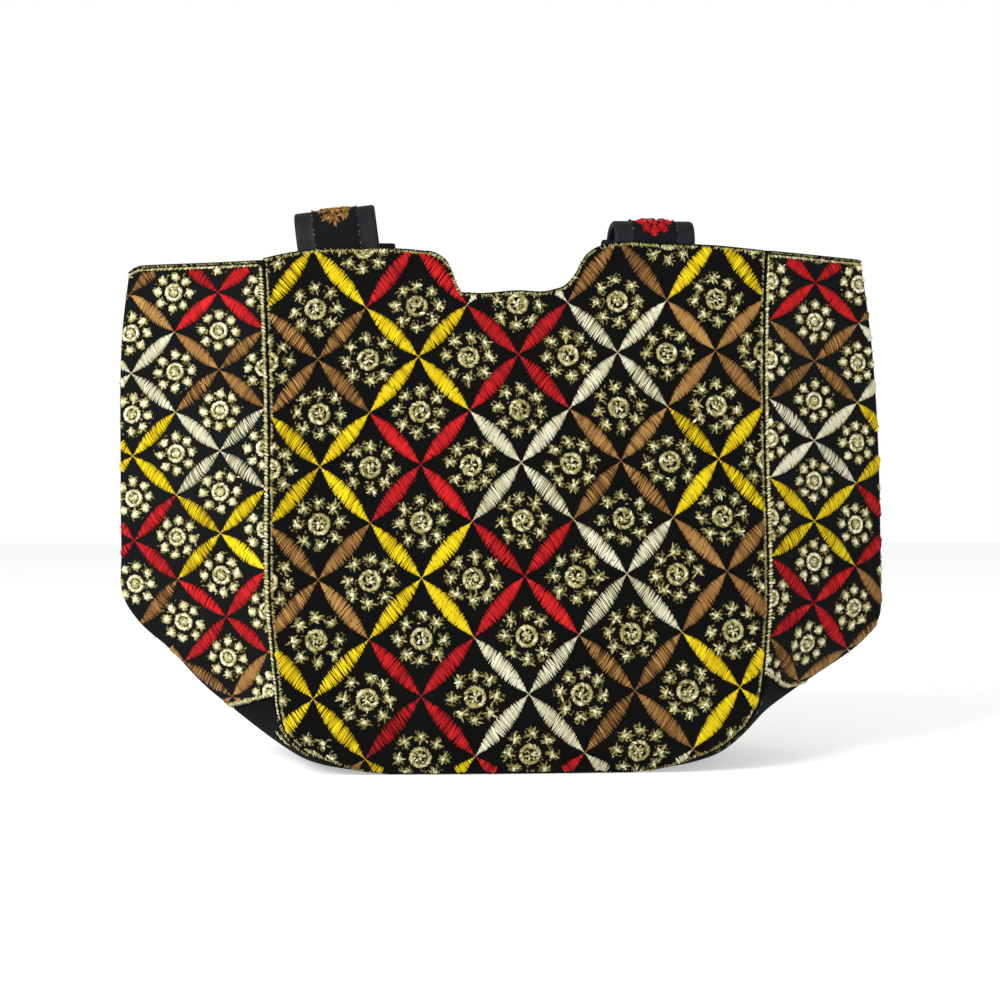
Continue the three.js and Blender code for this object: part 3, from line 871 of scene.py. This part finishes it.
def along_line(line, pitch):
    """Places every pitch along a line of points, with the directions ahead and beside there."""
    line = np.asarray(line, float)
    part = np.concatenate([[0], np.cumsum(np.hypot(*np.diff(line, axis=0).T))])
    at = np.arange(pitch / 2, part[-1], pitch)
    at = at + rng.uniform(-0.25, 0.25, len(at)) * pitch
    read = lambda t: np.stack([np.interp(t, part, line[:, k]) for k in (0, 1)], axis=1)
    ahead = read(at + 0.6) - read(at - 0.6)
    ahead = ahead / np.maximum(np.linalg.norm(ahead, axis=1, keepdims=True), 1e-6)
    return read(at), ahead, np.stack([-ahead[:, 1], ahead[:, 0]], axis=1)


def whip(strands, line, reach, slant, pitch, width, keep, shade):
    """Ragged whipped stitches: one laid slanting across the line every pitch, reach to each side of it.
    Some are missing, so that the share keep is left."""
    spot, ahead, beside = along_line(line, pitch)
    kept = rng.uniform(0, 1, len(spot)) < keep
    spot, ahead, beside = spot[kept], ahead[kept], beside[kept]
    count = len(spot)
    lean = slant + rng.normal(0, 0.25, count)
    way = beside * np.cos(lean)[:, None] + ahead * np.sin(lean)[:, None]
    a = spot - way * (reach * rng.uniform(0.7, 1.2, count))[:, None]
    b = spot + way * (reach * rng.uniform(0.7, 1.2, count))[:, None]
    tone = np.clip(rng.normal(shade, 0.22, count), min(shade, 0.0), 1)
    strands.add(a[:, 0], a[:, 1], b[:, 0], b[:, 1], width, 0.85, 0.15, tone)


def cord_line(strands, line, width, shade):
    """A couched cord: dim stitches that overlap along the line, wound about with short fat slanting ones. The
    dim core is painted shade between the bright wraps.
    """
    spot, ahead, beside = along_line(line, 1.5)
    count = len(spot)
    a, b = spot - ahead * 1.7, spot + ahead * 1.7
    # The core's low tone is painted shade in the grooves between the wraps.
    tone = np.clip(rng.normal(0.15, 0.15, count), 0, 1)
    strands.add(a[:, 0], a[:, 1], b[:, 0], b[:, 1], width * rng.uniform(0.7, 1.0, count), 0.6, 0.3, tone)
    whip(
        strands, line, reach=0.85 * width, slant=-0.85, pitch=1.4 * width, width=0.8 * width, keep=0.97,
        shade=shade,
    )


# Sections along a strand and the taper of its ends: long satin ones, and short blunt gold ones.
SATIN = (5, 0.62)
BLUNT = (3, 0.36)


def place_strands(name, strands, surface, sign, inside, thread, shape):
    """Makes one piece of all the strands of one thread on one cloth, cut to the part that inside accepts."""
    rows = strands.all()
    if inside is not None:
        rows = clip_strands(rows, inside)
    points, faces, chart, crest, shade, twist = strand_mesh(rows, surface, sign, *shape)
    low, high = chart.min(0), chart.max(0)
    chart = 0.01 + 0.98 * (chart - low) / (high - low)
    away = np.cross(points[faces[:, 1]] - points[faces[:, 0]], points[faces[:, 3]] - points[faces[:, 0]])
    middle = rows[:, :2].mean(0)[:, None]
    out = tangle(surface, *middle, np.array([float(sign)])) - surface(*middle)
    if away.sum(0) @ out[0] < 0:
        faces = faces[:, ::-1]
    maps = {"ClothMap": chart, "Twist": twist}
    # The crest mark carries each strand's painted highlight and painted shade.
    piece = add_piece(name, points, faces, THREADS[thread], maps=maps, marks={"crest": crest, "shade": shade})
    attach(piece, "root")
    return piece


# Needlework of the front and back panels
# Leaves of floss join the points of a slanting net, four of one colour round every other point, and a gold
# flower fills each opening. Ragged gold stitches run beside both seams and over the top edge.
PANEL_COLOURS = ("tan", "yellow", "red", "cream")
TOP_ROW_LIFT = 4.0
BETWEEN_SAG = 0.8


def panel_node(i, j):
    """Where a net point of the panel lies: i columns right of the middle, j rows below the top edge. The
    net was drawn by hand: its columns spread downward, its rows rise a little to the right, its top row
    stands over the edge, and the places between its main points sit a little low."""
    x = 4.8 + 49.9 * i - 2.05 * i * j + 0.18 * j * j + 0.51 * i * j * j
    z = 250.9 + 1.83 * i - 51.4 * j - 0.64 * i * j - 0.42 * j * j + 0.11 * i * j * j
    z = z + (TOP_ROW_LIFT if j == 0 else 0.0) - (BETWEEN_SAG if i % 1 or j % 1 else 0.0)
    return np.array([x, z / (1 + (RISE / HEIGHT) * (x / SPREAD_HALF))])


def panel_inside(face):
    """Tells whether a place on the panel is clear of its seams, its foot and its top edge."""

    def inside(x, z):
        q = np.interp(z, Z_STEPS, Q_STEPS)
        half = half_width(q)
        u = (x + face * rack(q)) / half
        return (half * (1 - np.abs(u)) > 1.0) & (z < lip(face, u) - 0.5) & (z > 1.2)

    return inside


def net(node_at, columns, rows, colour_at, belly, count, dome, flower):
    """All leaves and flowers of a net, sorted by thread."""
    work = {name: Strands() for name in THREADS}
    for i in columns:
        for j in rows:
            thread = colour_at(i, j)
            for di, dj in ((-0.5, -0.5), (0.5, -0.5), (-0.5, 0.5), (0.5, 0.5)):
                leaf(work[thread], node_at(i, j), node_at(i + di, j + dj), belly, count, dome)
            flower(work["gold"], node_at(i + 0.5, j))
            flower(work["gold"], node_at(i, j + 0.5))
    return work


def panel_edges(strands, face):
    """Gold stitches beside both seams and over the top edge."""
    q = np.linspace(0.035, 0.985, 160)
    for end in (-1, 1):
        x = -face * rack(q) + end * (half_width(q) - 1.9)
        line = np.stack([x, seam_height(q)], 1)
        whip(strands, line, reach=0.9, slant=0.9, pitch=1.2, width=0.7, keep=0.85, shade=0.3)
        whip(strands, line, reach=1.3, slant=-0.7, pitch=2.0, width=0.55, keep=0.6, shade=0.25)
    u = np.linspace(-0.985, 0.985, 300)
    line = np.stack([-face * RACK + u * PANEL_HALF, lip(face, u) - 0.9], 1)
    whip(strands, line, reach=1.1, slant=0.8, pitch=1.2, width=0.75, keep=0.85, shade=0.28)
    whip(strands, line, reach=1.4, slant=-0.6, pitch=2.2, width=0.6, keep=0.6, shade=0.2)


for face, name in ((-1, "front_panel"), (1, "back_panel")):
    work = net(
        panel_node if face < 0 else lambda i, j: panel_node(i, j) * np.array([-1, 1]),
        range(-3, 4),
        range(0, 6),
        lambda i, j: PANEL_COLOURS[(i + 2 + (1 if j % 2 == 0 else 0)) % 4],
        belly=3.85,
        count=42,
        dome=0.75,
        flower=open_flower,
    )
    edges = Strands()
    panel_edges(edges, face)
    surface = lambda a, b, face=face: panel_surface(face, a, b)
    sign = outward_sign(surface, 0.0, 120.0, (0, face, 0))
    for thread, strands in work.items():
        shape = BLUNT if thread == "gold" else SATIN
        place_strands(f"{name}_{thread}_work", strands, surface, sign, panel_inside(face), thread, shape)
    place_strands(f"{name}_edge_stitches", edges, surface, sign, None, "gold", BLUNT)

# Needlework of the side gussets
# The same net, closer set, runs from the front seam to the fold, with rounder flowers, and is mirrored
# behind the fold. Bolder gold cords follow the seams, the top edge and the gusset's lower end.
GUSSET_COLOURS = ("red", "tan", "cream", "yellow")
FOLD_STEPS = np.linspace(0.18, 1.03, 400)
FOLD_REACH = {end: SPREAD_HALF * (side(4, FOLD_STEPS) + end * side(6, FOLD_STEPS)) for end in (-1, 1)}
FOLD_HEIGHT = HEIGHT * side(5, FOLD_STEPS)
STRIP_HALF = 65.0
# Shares up the side where the left seam cords end, and where the loose stitches under both cords end.
LEFT_CORD_END = 0.222
TRAIL_END = 0.14
# The fold, in columns of the net out from the front seam.
FOLD_COLUMN = 1.1
# Each side's net, drawn by hand: reach and height of its first point, step from column to column and from
# row to row, how far a column moves in with each row, and how much the rows sink towards the fold.
GUSSET_NETS = {-1: (141.0, 233.6, 44.8, 39.95, 1.05, 0.41), 1: (154.2, 234.7, 48.3, 39.2, 1.5, 0.45)}


def gusset_node(end, i, k):
    """Where a net point of the gusset lies in chart places: i columns out from the front seam, k rows down.
    The rows sink towards the fold as the square of k, and rise again behind it."""
    first, top, across, down, drift, sink = GUSSET_NETS[end]
    out = FOLD_COLUMN - abs(i - FOLD_COLUMN)
    return np.array([first + across * i - drift * k, top - down * k - sink * out * k * abs(k)])


def gusset_chart(end, e, z):
    """The cloth place (q, w) of a chart point: e is the reach from the bag's middle, counted on round the
    fold, and z is the height. The share of the way from seam to fold is turned into w by undoing the
    rounded V."""
    far = np.hypot(1, FOLD_ROUND)
    fold = np.interp(z, FOLD_HEIGHT, FOLD_REACH[end])
    side_sign = np.where(e > fold, 1.0, -1.0)
    q = np.interp(z, Z_STEPS, Q_STEPS)
    for _ in range(4):
        seam = half_width(q) - side_sign * end * rack(q)
        hump = np.clip(1 - np.abs(e - fold) / (fold - seam), 0, 1)
        q = np.interp(z - hump * (HEIGHT * side(5, q) - seam_height(q)), Z_STEPS, Q_STEPS)
    w = np.sqrt(np.maximum((far - hump * (far - FOLD_ROUND)) ** 2 - FOLD_ROUND**2, 0))
    return q, side_sign * w


def gusset_surface(end, way, e, z):
    """The gusset's cloth in chart places: its front half, or with way 1 the same places on its back half."""
    q, w = gusset_chart(end, e, z)
    return strip_surface(end, q, -way * w)


def gusset_inside(end):
    """Tells whether a chart place is on the gusset's front half, clear of its seam, lower end and top
    edge."""

    def inside(e, z):
        q, w = gusset_chart(end, e, z)
        return (w > -0.975) & (w < 0) & (q > foot_q(end, w) + 0.007) & (q < 0.991)

    return inside


def seam_line(way, q, off):
    """Strip places along a seam, off millimetres out from it. way is -1 at the front seam, 1 at the back
    one."""
    length = np.hypot(SPREAD_HALF * side(4, q) - half_width(q), half_depth(q))
    return np.stack([way * STRIP_HALF * (1 - off / length), q * SEAM_LENGTH], 1)


def gusset_edges(strands, end):
    """Gold cords near both seams, under the top edge and over the lower end, and dim stitches over the top
    edge, in strip places: a is the way across and b the way up, in millimetres. On the left the seam cords
    run on down the base and end in loose stitches, and on the right only a few stray ones do."""
    low = LEFT_CORD_END if end < 0 else FOOT_Q[end][2] + 0.004
    q = np.linspace(low, 0.99, 140)
    for way in (-1, 1):
        cord_line(strands, seam_line(way, q, 1.3), width=1.15, shade=0.65)
        if end < 0:
            whip(
                strands, seam_line(way, np.linspace(TRAIL_END, LEFT_CORD_END, 30), 2.6), reach=1.7,
                slant=0.5, pitch=1.2, width=0.8, keep=0.85, shade=0.3,
            )
            spot = np.array([way * 0.78 * STRIP_HALF, 0.19 * SEAM_LENGTH])
            burst(
                strands, spot, inner=0.2, outer=4.5, count=9, width=0.9, turn=0.4, ragged=0.5,
                shade=0.5, stray=0.8,
            )
        else:
            whip(
                strands, seam_line(way, np.linspace(TRAIL_END, 0.25, 30), 3.0), reach=1.4, slant=0.9,
                pitch=2.6, width=0.6, keep=0.4, shade=0.15,
            )
    w = np.linspace(-0.965, 0.965, 120)
    top = np.stack([w * STRIP_HALF, np.full_like(w, 0.9925 * SEAM_LENGTH)], 1)
    cord_line(strands, top, width=1.2, shade=0.6)
    rim = np.stack([w * STRIP_HALF, np.full_like(w, 0.9985 * SEAM_LENGTH)], 1)
    whip(strands, rim, reach=0.9, slant=0.9, pitch=1.3, width=0.6, keep=0.8, shade=0.08)
    foot = np.stack([w * STRIP_HALF, (foot_q(end, w) + 0.006) * SEAM_LENGTH], 1)
    cord_line(strands, foot, width=1.6, shade=0.7)
    whip(strands, foot, reach=1.1, slant=-0.7, pitch=1.5, width=0.7, keep=0.7, shade=0.35)


for end, name in ((-1, "side_gusset_left"), (1, "side_gusset_right")):
    work = net(
        lambda i, k, end=end: gusset_node(end, i, k),
        range(-1, 3),
        range(-1, 6),
        lambda i, k: GUSSET_COLOURS[(k + i) % 4],
        belly=3.4,
        count=36,
        dome=0.65,
        flower=round_flower,
    )
    for way, half in ((-1, "front"), (1, "rear")):
        surface = lambda a, b, end=end, way=way: gusset_surface(end, way, a, b)
        sign = outward_sign(surface, 150.0, 150.0, (0.4 * end, way, 0))
        for thread, strands in work.items():
            shape = BLUNT if thread == "gold" else SATIN
            place_strands(
                f"{name}_{half}_{thread}_work", strands, surface, sign, gusset_inside(end), thread, shape
            )
    edges = Strands()
    gusset_edges(edges, end)
    surface = lambda a, b, end=end: strip_surface(end, b / SEAM_LENGTH, np.clip(a / STRIP_HALF, -1, 1))
    sign = outward_sign(surface, -40.0, 150.0, (0.4 * end, -1, 0))
    place_strands(f"{name}_edge_cords", edges, surface, sign, None, "gold", BLUNT)

# Handles: two black bands, doubled and top-stitched
# Each is a band of satin-faced cloth with a darker raised strip down its middle, worked with small floss
# flowers. The ends are sewn flat inside the mouth, and the loops bend over the top edge and hang down
# behind the bag, turning edge on as they go.
BAND = 40.0
BAND_THICK = 2.6
CAD_CLOTH = 2.06
GAP = 0.3
LEG_AT = 0.82
SEWN = 30.0
NEST = 5.0
TWIST_TOP = 240.0
TWIST_END = 156.0
TWIST_STEPS = 18
LOOP_STEPS = 18
FRONT_HANDLE = {"sign": -1, "nest": NEST, "drop": 56.0, "steps": 15, "power": 0.75}
BACK_HANDLE = {"sign": 1, "nest": 0.0, "drop": 44.0, "steps": 9, "power": 1.0}
# Each leg: which end of the bag, its centre as a share of PANEL_HALF, how high its bend stands over the lip
# as a share of BAND, and its sideways lean there.
FRONT_LEGS = ((1, 0.592, 0.325, 0.0), (-1, -0.662, 0.512, 0.13))
BACK_LEGS = ((1, 0.563, 0.15, 0.0), (-1, -0.603, 0.15, 0.0))


def face_depth(u, z):
    """A panel's distance from the middle at height z and u across."""
    q = np.interp(z, Z_STEPS, Q_STEPS)
    return half_depth(q) + bulge(q) * (1 - u * u)


def inside_depth(z):
    """Where a band lies against the inside of a panel."""
    return face_depth(LEG_AT, z) - CAD_CLOTH - GAP - BAND_THICK / 2


def outside_depth(z):
    """Where a band lies against the outside of the back panel."""
    return face_depth(0.0, z) + 2 * GAP + BAND_THICK / 2


def framed(middle, along):
    """The unit vectors across the band and out of it at each of its stations."""
    tangent = np.gradient(middle, axis=0)
    tangent = tangent / np.linalg.norm(tangent, axis=1, keepdims=True)
    across = along - np.sum(along * tangent, axis=1, keepdims=True) * tangent
    across = across / np.linalg.norm(across, axis=1, keepdims=True)
    return across, np.cross(tangent, across)


def hanging_leg(x, end, nest):
    """The part of a leg that turns a quarter as it comes down behind the bag, its outer face ending
    outward."""
    k = np.arange(TWIST_STEPS + 1) / TWIST_STEPS
    z = TWIST_TOP + (TWIST_END - TWIST_TOP) * k
    turn = np.pi / 2 * smooth_step(k)
    middle = tilted(np.full_like(z, x), outside_depth(z) + BAND / 2 * np.sin(turn), z)
    along = np.stack([end * np.cos(turn), -np.sin(turn), np.zeros_like(turn)], axis=1)
    across, normal = framed(middle, along)
    return middle - end * nest * normal, across


def bent_leg(x, end, hump, lean, kind):
    """The part of a leg from its sewn end up over the lip, leaning sideways above it."""
    sign, nest, power = kind["sign"], kind["nest"], kind["power"]
    z = HEIGHT - SEWN + np.arange(4) * (SEWN - 1) / 4
    y = sign * inside_depth(z)
    inner = sign * inside_depth(HEIGHT)
    outer = outside_depth(HEIGHT) + nest
    angle = np.linspace(np.pi, 0, kind["steps"])
    turn = np.cos(angle)
    arc_y = (inner + outer) / 2 + (outer - inner) / 2 * np.sign(turn) * np.abs(turn) ** power
    arc_z = HEIGHT + 1 + hump * np.sin(angle) ** power
    y = np.concatenate([y, arc_y, [outside_depth(HEIGHT - 6) + nest]])
    z = np.concatenate([z, arc_z, [HEIGHT - 6]])
    over = np.maximum(z - HEIGHT, 0)
    share = smooth_step(over / 6)
    along = np.stack([np.full_like(z, end), np.zeros_like(z), -end * sign * lean * share], axis=1)
    return tilted(x - lean * over, y, z), along


def handle_path(kind, legs):
    """The whole middle line of a handle and the directions across it and out of it, 1 mm apart."""
    parts = []
    for end, at, hump, lean in legs:
        x = at * PANEL_HALF
        top = bent_leg(x, end, hump * BAND, lean, kind)
        low = hanging_leg(x, end, kind["nest"])
        parts.append([np.concatenate(pair) for pair in zip(top, low)])
    angle = np.pi * np.arange(1, LOOP_STEPS) / LOOP_STEPS
    z = TWIST_END - kind["drop"] * np.sin(angle)
    right, left = (leg[1] * PANEL_HALF for leg in legs)
    x = (right + left) / 2 + ((right - left) / 2 + kind["nest"]) * np.cos(angle)
    loop = tilted(x, outside_depth(z) + BAND / 2, z)
    level = np.tile([0.0, -1.0, 0.0], (len(z), 1))
    middle = np.concatenate([parts[0][0], loop, parts[1][0][::-1]])
    along = np.concatenate([parts[0][1], level, parts[1][1][::-1]])
    at = np.concatenate([[0], np.cumsum(np.linalg.norm(np.diff(middle, axis=0), axis=1))])
    s = np.linspace(0, at[-1], int(at[-1]))
    middle = np.stack([read_curve(at, middle[:, k], s) for k in range(3)], axis=1)
    along = np.stack([read_curve(at, along[:, k], s) for k in range(3)], axis=1)
    across, normal = framed(middle, along)
    return s, middle, across, normal


def strip_raise(a):
    """How much the middle strip stands over the satin borders, a across the band."""
    return 0.35 * (1 - smooth_step((np.abs(a) - 10.6) / 0.8))


def band_surface(path, a, s):
    """The band's outer face, a across and s along."""
    at, middle, across, normal = path
    read = lambda v: np.stack([np.interp(s, at, v[:, k]) for k in range(3)], axis=-1)
    a = np.asarray(a, dtype=float)[..., None]
    return read(middle) + read(across) * a - read(normal) * (BAND_THICK / 2 + strip_raise(a))


def band_mesh(path):
    """The whole band: a flat section with rounded edges and a raised strip, swept along its path."""
    at, middle, across, normal = path
    round_edge = np.linspace(-np.pi / 2, np.pi / 2, 7)
    half, thick = BAND / 2 - BAND_THICK / 2, BAND_THICK / 2
    right = np.stack([half + thick * np.cos(round_edge), thick * np.sin(round_edge)], axis=1)
    inner = np.stack([np.linspace(half, -half, 5)[1:-1], np.full(3, thick)], axis=1)
    left = right[::-1] * [-1, 1]
    a = np.array([-17.5, -14, -11.4, -11, -10.6, -7, 0, 7, 10.6, 11, 11.4, 14, 17.5])
    outer = np.stack([a, -thick - strip_raise(a)], axis=1)
    ring = np.concatenate([right, inner, left, outer])
    pick = np.unique(np.linspace(0, len(at) - 1, len(at) // 2).astype(int))
    middle, across, normal = middle[pick], across[pick], normal[pick]
    points = middle[:, None] + across[:, None] * ring[None, :, :1] + normal[:, None] * ring[None, :, 1:]
    n, count = points.shape[:2]
    i, j = np.meshgrid(np.arange(n - 1), np.arange(count), indexing="ij")
    k = (j + 1) % count
    here, there = i * count, (i + 1) * count
    faces = np.stack([here + j, here + k, there + k, there + j], axis=-1).reshape(-1, 4)
    ends = []
    for start, turned in ((0, False), ((n - 1) * count, True)):
        fan = np.arange(count // 2 - 1)
        quads = np.stack([fan, fan + 1, count - 2 - fan, count - 1 - fan], axis=1)
        quads = quads[quads[:, 1] < quads[:, 2]] + start
        ends.append(quads if turned else quads[:, ::-1])
    flat = points.reshape(-1, 3)
    strip = (np.abs(ring[:, 0]) < 11.05) & (ring[:, 1] < 0)
    marks = np.broadcast_to(strip[None].astype(float), (n, count)).ravel()
    lengthwise = 0.02 + 0.96 * (at[pick] / at[-1])[:, None]
    around = 0.02 + 0.96 * (np.arange(count) / count)[None]
    chart = np.stack(np.broadcast_arrays(lengthwise, around), axis=-1).reshape(-1, 2)
    return flat, turn_out(flat, np.concatenate([faces, *ends])), chart, marks


def make_band_material():
    """Satin black borders and a darker, duller middle strip, both with a fine mottled bump."""
    material, paint, shader = new_material("band_satin")
    strip = paint.node("ShaderNodeAttribute", {"attribute_name": "strip"}, {}, "Fac")
    place = paint.node("ShaderNodeTexCoord", {}, {}, "Object")
    mottle = paint.node("ShaderNodeTexNoise", {}, {"Vector": place, "Scale": 160.0, "Detail": 3.0}, "Fac")
    border = between(mottle, colour(17, 19, 22), colour(28, 30, 34))
    tone = between(strip, border, colour(11, 12, 15))
    relief = {"Strength": 0.25, "Distance": 0.0002, "Height": mottle}
    bump = paint.node("ShaderNodeBump", {}, relief, "Normal")
    feed(shader, {"Base Color": tone, "Roughness": 0.55 + 0.35 * strip, "Normal": bump})
    feed(shader, {"Specular IOR Level": 0.12})
    return material


def lobed_motif(strands, s):
    """A red flower on the band: a round middle and eight plump satin lobes."""
    for k in range(8):
        angle = k * np.pi / 4 + rng.uniform(-0.08, 0.08)
        way = np.array([np.cos(angle), np.sin(angle)])
        leaf(strands, way * 3.0 + [0, s], way * 9.3 + [0, s], belly=2.5, count=9, dome=0.8)
    burst(strands, (0.0, s), inner=0.1, outer=2.9, count=9, width=1.6, turn=0.0, ragged=0.15)


def ragged_motif(strands, s):
    """A tan flower on the band: eight tufts of loose stitches about a middle one."""
    for k in range(8):
        angle = k * np.pi / 4 + rng.uniform(-0.08, 0.08)
        spot = (6.2 * np.cos(angle), s + 6.2 * np.sin(angle))
        burst(
            strands, spot, inner=0.1, outer=2.9, count=12, width=1.2, turn=angle, ragged=0.4, shade=0.4,
            stray=0.3,
        )
    scatter(strands, (0.0, s), radius=7.0, count=40, long=2.0, width=1.1, shade=0.3)
    burst(strands, (0.0, s), inner=0.2, outer=3.3, count=10, width=1.3, turn=0.0, ragged=0.3)


band_satin = make_band_material()
RED_FROM_END = 44.5
TAN_FROM_END = 51.5
MOTIF_STEPS = 17
for name, kind, legs in (("handle_front", FRONT_HANDLE, FRONT_LEGS), ("handle_back", BACK_HANDLE, BACK_LEGS)):
    path = handle_path(kind, legs)
    points, faces, chart, marks = band_mesh(path)
    band = add_piece(
        f"{name}_band", points, faces, band_satin, maps={"ClothMap": chart}, marks={"strip": marks}
    )
    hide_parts(name)
    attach(band, "root")
    surface = lambda a, b, path=path: band_surface(path, a, b)
    length = path[0][-1]
    sign = outward_sign(surface, 0.0, length / 2, -path[3][len(path[0]) // 2])
    work = {thread: Strands() for thread in ("red", "tan", "gold")}
    step = (length - RED_FROM_END - TAN_FROM_END) / MOTIF_STEPS
    for k in range(-1, MOTIF_STEPS + 1):
        if k % 2:
            ragged_motif(work["tan"], RED_FROM_END + step * k)
        else:
            lobed_motif(work["red"], RED_FROM_END + step * k)
    for a in (-10.9, 10.9):
        whip(
            work["gold"], np.array([[a, 4.0], [a, length - 4.0]]), reach=0.6, slant=1.2, pitch=1.7,
            width=0.5, keep=0.45, shade=-0.15,
        )
    for thread, strands in work.items():
        shape = SATIN if thread == "red" else BLUNT
        shown = lambda a, s: s > SEWN + 0.5
        place_strands(f"{name}_{thread}_work", strands, surface, sign, shown, thread, shape)
